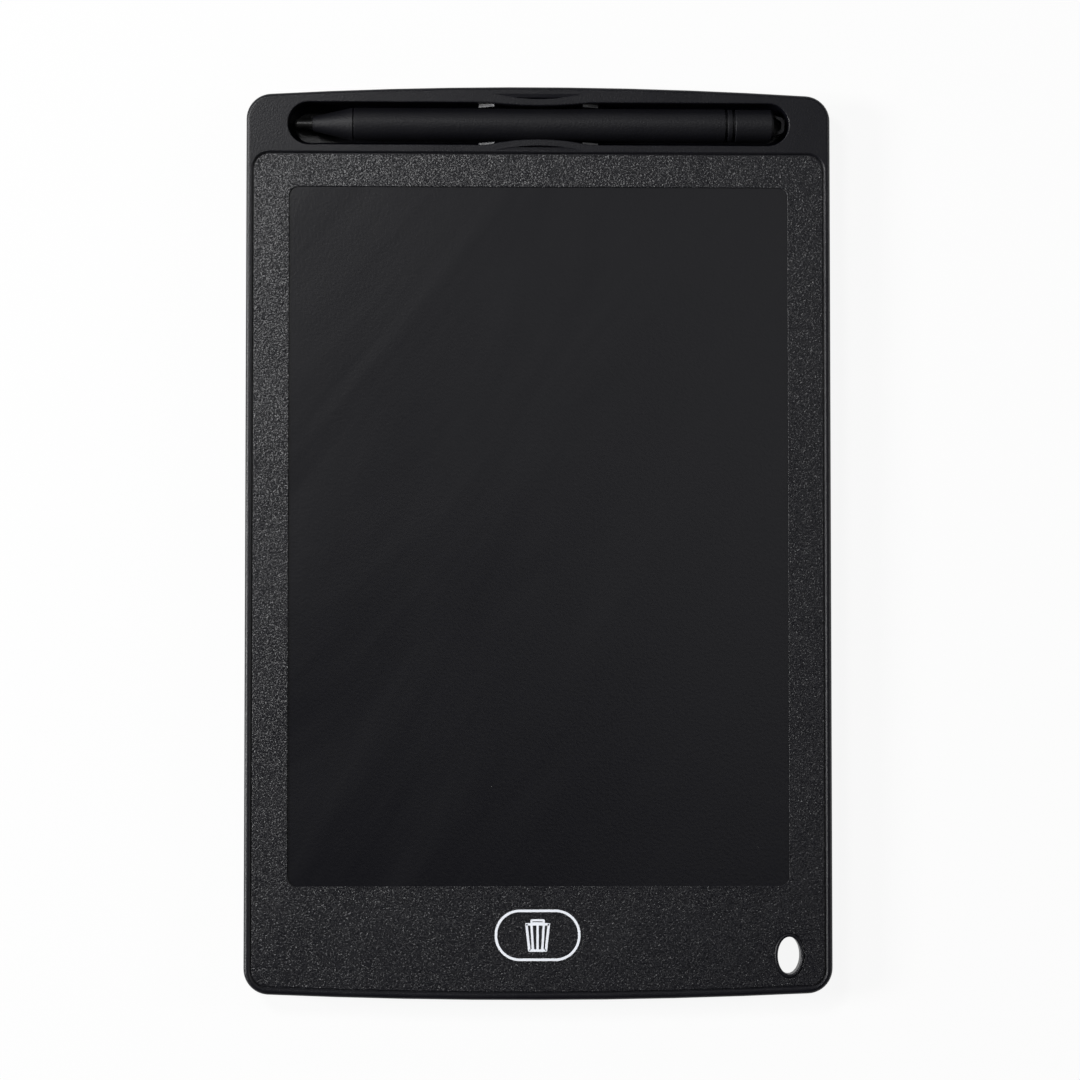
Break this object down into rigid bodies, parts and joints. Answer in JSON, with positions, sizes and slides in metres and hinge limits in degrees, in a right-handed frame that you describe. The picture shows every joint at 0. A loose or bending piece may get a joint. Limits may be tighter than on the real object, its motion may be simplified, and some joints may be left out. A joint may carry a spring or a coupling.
{
  "type": "lcd writing tablet",
  "caption": "Thin handheld writing tablet with a dark screen, textured surround, oval erase key, lanyard hole and a stylus clipped in a tray along one end.",
  "frame": {"origin": "under the middle of the tablet, at the foot of the pen ridge on its back", "axes": "+Z out of the screen, +Y towards the end with the stylus tray, +X to the right of someone facing the screen"},
  "size_m": [0.145, 0.226, 0.01],
  "materials": {
    "housing_plastic": "fine spark-eroded texture, satin black",
    "textured_film": "sand-grained black printed film",
    "adhesive": "black double-sided tape",
    "key_plastic": "moulded black",
    "screen_film": "satin writing film over a dark layer",
    "screen_backing": "black coated film",
    "ribbon_film": "amber flexible circuit",
    "component_black": "moulded epoxy",
    "component_white": "moulded nylon",
    "board_laminate": "green solder mask",
    "plated_steel": "nickel plated sheet",
    "cell_steel": "stainless, lightly brushed",
    "ferrite": "grey ferrite",
    "ceramic": "tan ceramic",
    "seal_plastic": "translucent nylon",
    "cell_filling": "pressed dark powder",
    "stylus_plastic": "satin black",
    "nib_plastic": "polished hard black tip"
  },
  "bodies": {
    "tablet": {"front_frame": "housing_plastic", "back_cover": "housing_plastic", "bezel_film": "textured_film", "film_adhesive": "adhesive", "lcd_front_film": "screen_film", "lcd_rear_film": "screen_backing", "lcd_ribbon": "ribbon_film", "ribbon_clamp": "component_black", "circuit_board": "board_laminate", "board_screws": "plated_steel", "switch_body": "component_black", "switch_cover": "plated_steel", "controller_chip": "component_black", "boost_coil": "ferrite", "capacitors": "ceramic", "resistors": "component_black", "diode": "component_black", "lock_switch_body": "plated_steel", "cell_can": "cell_steel", "cell_seal_ring": "seal_plastic", "cell_cap": "cell_steel", "cell_stack": "cell_filling", "positive_contact": "plated_steel", "negative_contact": "plated_steel"},
    "erase_button": {"erase_pad": "textured_film", "erase_key": "key_plastic", "switch_plunger": "component_white"},
    "lock": {"lock_slider": "key_plastic", "lock_lever": "component_white"},
    "door": {"battery_door": "housing_plastic", "door_screw": "plated_steel"},
    "stylus": {"stylus_barrel": "stylus_plastic", "stylus_nose": "stylus_plastic", "stylus_nib": "nib_plastic", "stylus_ring": "stylus_plastic", "stylus_cap": "stylus_plastic"}
  },
  "joints": [
    {"name": "stylus_lift", "type": "slide", "parent": "tablet", "child": "stylus", "axis": [0, 0, 1], "range_m": [0, 0.03]},
    {"name": "erase_press", "type": "slide", "parent": "tablet", "child": "erase_button", "axis": [0, 0, -1], "range_m": [0, 0.0003], "stiffness_N_per_m": 3000, "springref_m": -0.0001},
    {"name": "lock_slide", "type": "slide", "parent": "tablet", "child": "lock", "axis": [1, 0, 0], "range_m": [0, 0.002]},
    {"name": "door_swing", "type": "hinge", "parent": "tablet", "child": "door", "pos_m": [-0.04415, -0.098, 0.0048], "axis": [0, 1, 0], "range_deg": [0, 80]}
  ]
}
